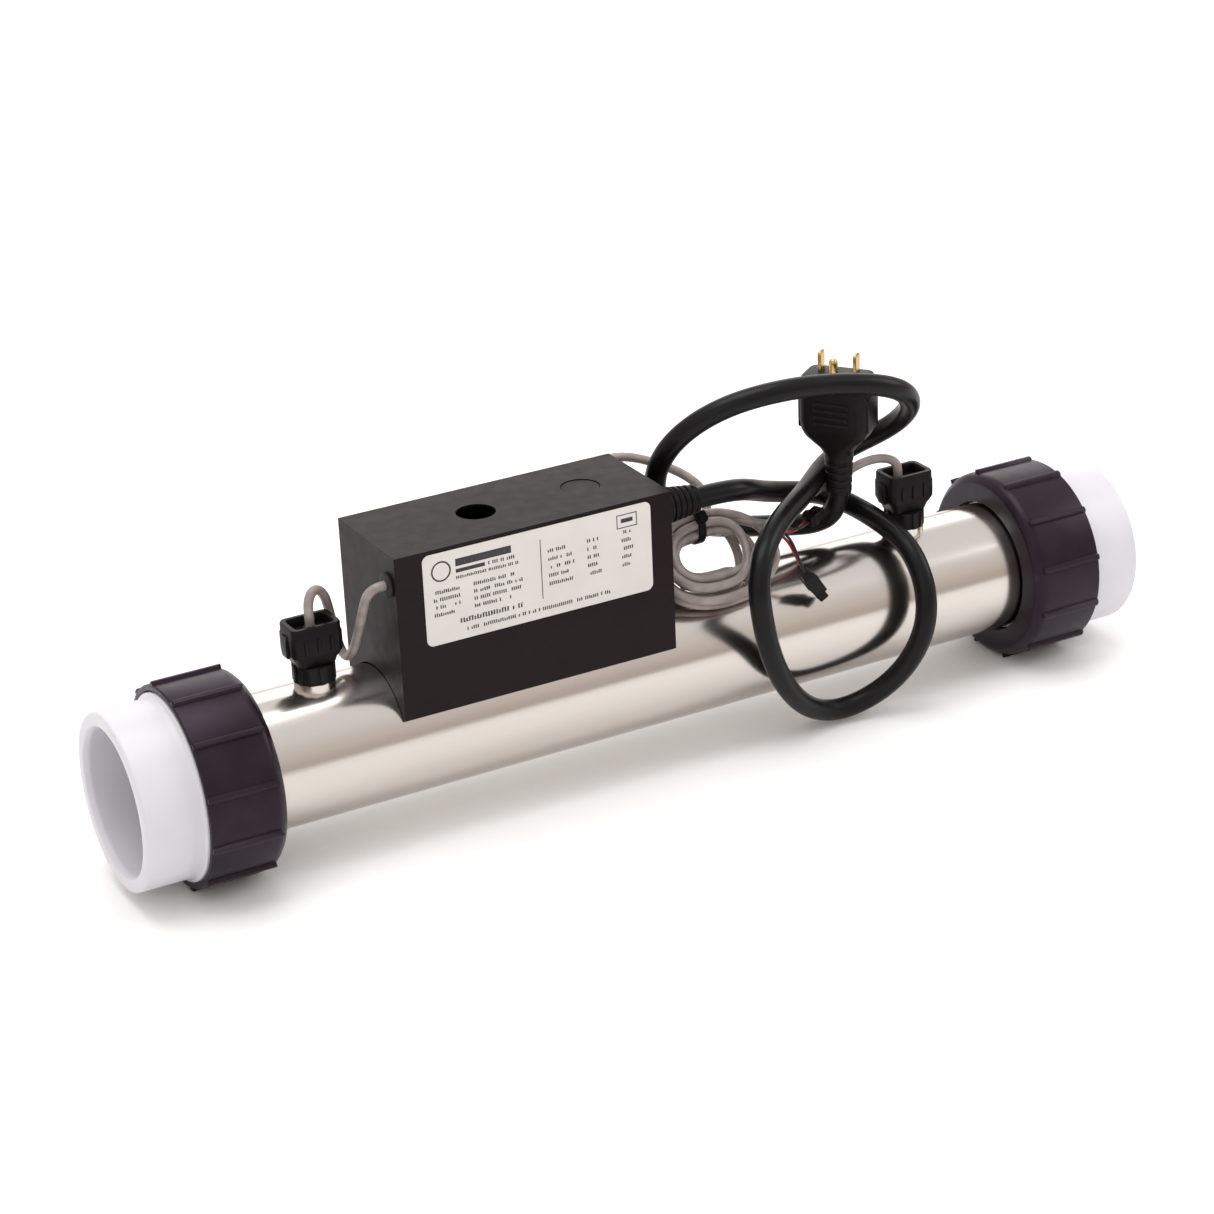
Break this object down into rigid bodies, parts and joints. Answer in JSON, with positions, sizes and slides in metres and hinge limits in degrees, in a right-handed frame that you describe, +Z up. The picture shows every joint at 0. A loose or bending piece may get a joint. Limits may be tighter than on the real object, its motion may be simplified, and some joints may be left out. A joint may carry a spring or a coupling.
{
  "type": "in-line water heater",
  "caption": "Straight stainless steel flow-through water heater with screw unions, slip sockets, a terminal box and a corded plug.",
  "frame": {"origin": "centre of the bounding box's base without the cords: half way along the tube, on the floor under it", "axes": "+X along the tube towards the end with the coiled cord, +Y to the back, -Y is the side with the label, +Z up through the terminal box"},
  "size_m": [0.4764, 0.0874, 0.1614],
  "materials": {
    "polished_steel": "polished stainless steel tube",
    "pin_steel": "plain stainless probe",
    "element_sheath": "dull oxidised alloy sheath",
    "brass": "plain brass",
    "zinc_steel": "zinc plated",
    "nut_plastic": "black moulded plastic, slight sheen",
    "white_pvc": "white PVC, semi gloss",
    "black_sheet": "black powder coat",
    "inner_sheet": "dark grey sheet",
    "label": "white printed label with no lettering",
    "black_plastic": "black moulded plastic",
    "rubber": "black rubber",
    "red_rubber": "red heat resistant rubber",
    "cord_jacket": "black cord jacket, slight sheen",
    "grey_jacket": "grey cable jacket",
    "wire_red": "red insulation"
  },
  "bodies": {
    "heater": {"heater_tube": "polished_steel", "tube_flange_left": "polished_steel", "tube_flange_right": "polished_steel", "heating_element": "element_sheath", "element_fittings": "brass", "element_gaskets": "red_rubber", "element_nuts": "brass", "terminal_studs": "zinc_steel", "terminal_nuts": "zinc_steel", "ring_lugs": "brass", "ground_stud": "zinc_steel", "internal_wires": "wire_red", "base_plate": "inner_sheet", "box_cover": "black_sheet", "cover_screws": "zinc_steel", "rating_label": "label", "knockout_slug": "black_sheet", "cord_gland": "black_plastic", "gland_locknut": "black_plastic", "lead_grommet": "rubber", "sensor_boss_left": "polished_steel", "sensor_boss_right": "polished_steel", "sensor_probe_left": "pin_steel", "sensor_probe_right": "pin_steel", "sensor_nut_left": "black_plastic", "sensor_nut_right": "black_plastic", "sensor_plug_left": "black_plastic", "sensor_plug_right": "black_plastic", "power_cord": "cord_jacket", "plug_body": "black_plastic", "plug_pins": "brass", "lead_grommet_back": "rubber", "sensor_lead_left": "grey_jacket", "sensor_lead_right": "grey_jacket", "control_lead": "grey_jacket", "lead_hank": "grey_jacket", "hank_tie": "black_plastic", "pigtail_lead": "grey_jacket", "pigtail_wires": "wire_red", "lead_connectors": "black_plastic"},
    "union_nut_left": {"union_nut_left": "nut_plastic"},
    "union_nut_right": {"union_nut_right": "nut_plastic"},
    "tailpiece_left": {"tailpiece_left": "white_pvc", "o_ring_left": "rubber"},
    "tailpiece_right": {"tailpiece_right": "white_pvc", "o_ring_right": "rubber"}
  },
  "joints": [
    {"name": "union_turn_left", "type": "hinge", "parent": "heater", "child": "union_nut_left", "pos_m": [-0.1967, 0, 0.04221], "axis": [1, 0, 0], "range_deg": [0, 1080]},
    {"name": "tail_slide_left", "type": "slide", "parent": "heater", "child": "tailpiece_left", "axis": [-1, 0, 0], "range_m": [0, 0.015]},
    {"name": "union_turn_right", "type": "hinge", "parent": "heater", "child": "union_nut_right", "pos_m": [0.1967, 0, 0.04221], "axis": [-1, 0, 0], "range_deg": [0, 1080]},
    {"name": "tail_slide_right", "type": "slide", "parent": "heater", "child": "tailpiece_right", "axis": [1, 0, 0], "range_m": [0, 0.015]}
  ],
  "couplings": [
    {"joint": "tail_slide_left", "follows": "union_turn_left", "m_per_rad": 0.00079577},
    {"joint": "tail_slide_right", "follows": "union_turn_right", "m_per_rad": 0.00079577}
  ]
}
